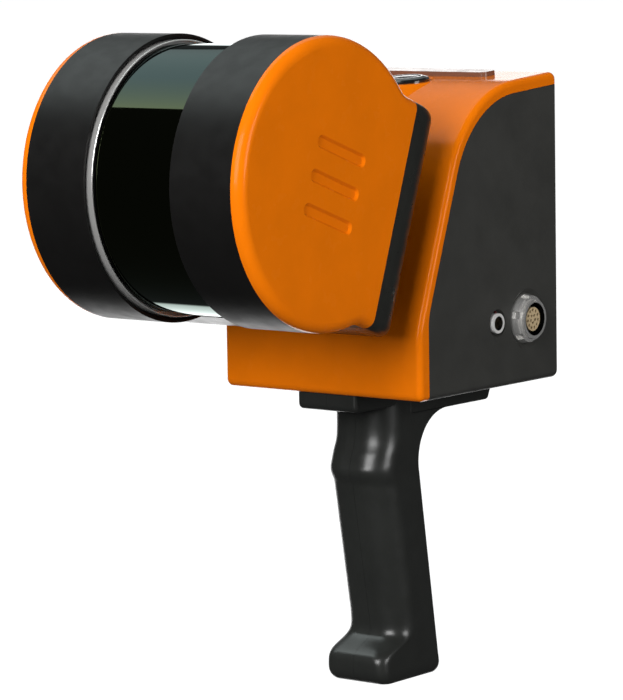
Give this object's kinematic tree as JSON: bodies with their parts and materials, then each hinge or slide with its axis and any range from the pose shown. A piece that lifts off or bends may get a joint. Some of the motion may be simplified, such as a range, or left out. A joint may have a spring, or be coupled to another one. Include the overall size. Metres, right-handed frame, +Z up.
{
  "type": "terrestrial laser scanner",
  "caption": "Hand-held mobile laser scanner: a spinning sensor head on a sloped case with side ports, a start button and a pistol grip.",
  "frame": {"origin": "centre of the pistol grip, on the mid plane between its two halves", "axes": "+Z up with the grip hanging below the case, +Y towards the rear of the case, +X towards the side with the ports"},
  "size_m": [0.1086, 0.2081, 0.2631],
  "materials": {
    "shell_orange": "satin moulded orange",
    "panel_black": "fine matt texture",
    "housing_black": "satin black",
    "yoke_black": "gloss black",
    "grip_black": "semi-gloss black",
    "button_black": "gloss black",
    "window_glass": "infrared-pass dark window",
    "status_glass": "smoked gloss",
    "sensor_metal": "black anodised",
    "ring_silver": "bright turned",
    "rotor_black": "matt",
    "lens_glass": "coated lens",
    "connector_chrome": "satin chrome",
    "insert_tan": "tan insulator",
    "contact_gold": "gold plated",
    "marker_red": "red dot",
    "fastener_steel": "black oxide steel",
    "bearing_steel": "ground steel",
    "machined_aluminium": "machined",
    "gear_plastic": "acetal",
    "seal_rubber": "matt rubber",
    "circuit_green": "solder mask",
    "imu_grey": "satin"
  },
  "bodies": {
    "case": {"body_shell": "shell_orange", "side_panel_right": "panel_black", "side_panel_left": "panel_black", "rear_cover": "panel_black", "base_plate": "panel_black", "case_seal": "seal_rubber", "base_plate_screws": "fastener_steel", "rear_cover_screws": "fastener_steel", "status_window": "status_glass", "button_bezel": "button_black", "button_switch": "gear_plastic", "data_connector_shell": "connector_chrome", "data_connector_nut": "connector_chrome", "data_connector_insert": "insert_tan", "data_connector_contacts": "contact_gold", "aux_connector_shell": "connector_chrome", "aux_connector_insert": "insert_tan", "aux_connector_nut": "connector_chrome", "aux_marker": "marker_red", "shaft_seal": "seal_rubber", "bearing_housing": "machined_aluminium", "front_bearing": "bearing_steel", "rear_bearing": "bearing_steel", "bearing_housing_screws": "fastener_steel", "motor_plate": "machined_aluminium", "motor_plate_posts": "fastener_steel", "motor_plate_screws": "fastener_steel", "drive_motor": "bearing_steel", "slip_ring_body": "gear_plastic", "main_board": "circuit_green", "main_board_parts": "circuit_green", "main_board_standoffs": "fastener_steel", "io_board": "circuit_green", "imu_module": "imu_grey", "handle_half_right": "grip_black", "handle_half_left": "grip_black", "handle_screws": "fastener_steel", "flange_bolts": "fastener_steel"},
    "head": {"side_housing_right": "housing_black", "side_housing_left": "housing_black", "end_cap_right": "shell_orange", "end_cap_left": "shell_orange", "yoke": "yoke_black", "yoke_screws": "fastener_steel", "retaining_ring": "ring_silver", "sensor_base": "sensor_metal", "sensor_top": "sensor_metal", "sensor_window": "window_glass", "rotor_spindle": "sensor_metal", "main_gear": "gear_plastic", "spin_shaft": "machined_aluminium", "slip_ring_rotor": "gear_plastic"},
    "sensor_rotor": {"rotor_frame": "rotor_black", "rotor_lenses": "lens_glass", "rotor_board": "circuit_green"},
    "motor_rotor": {"motor_shaft": "bearing_steel", "motor_pinion": "bearing_steel"},
    "button": {"start_button": "button_black"}
  },
  "joints": [
    {"name": "head_spin", "type": "hinge", "parent": "case", "child": "head", "pos_m": [0, -0.0957, 0.1506], "axis": [0, -0.9397, 0.342], "continuous": true},
    {"name": "sensor_spin", "type": "hinge", "parent": "head", "child": "sensor_rotor", "pos_m": [0, -0.0957, 0.1506], "axis": [1, 0, 0], "continuous": true},
    {"name": "motor_spin", "type": "hinge", "parent": "case", "child": "motor_rotor", "pos_m": [-0.0304, 0.01565, 0.11007], "axis": [0, -0.9397, 0.342], "continuous": true},
    {"name": "button_press", "type": "slide", "parent": "case", "child": "button", "axis": [0, 0.0785, -0.9969], "range_m": [0, 0.0012], "stiffness_N_per_m": 400, "springref_m": -0.001}
  ],
  "couplings": [
    {"joint": "motor_spin", "follows": "head_spin", "ratio": -3.75}
  ]
}
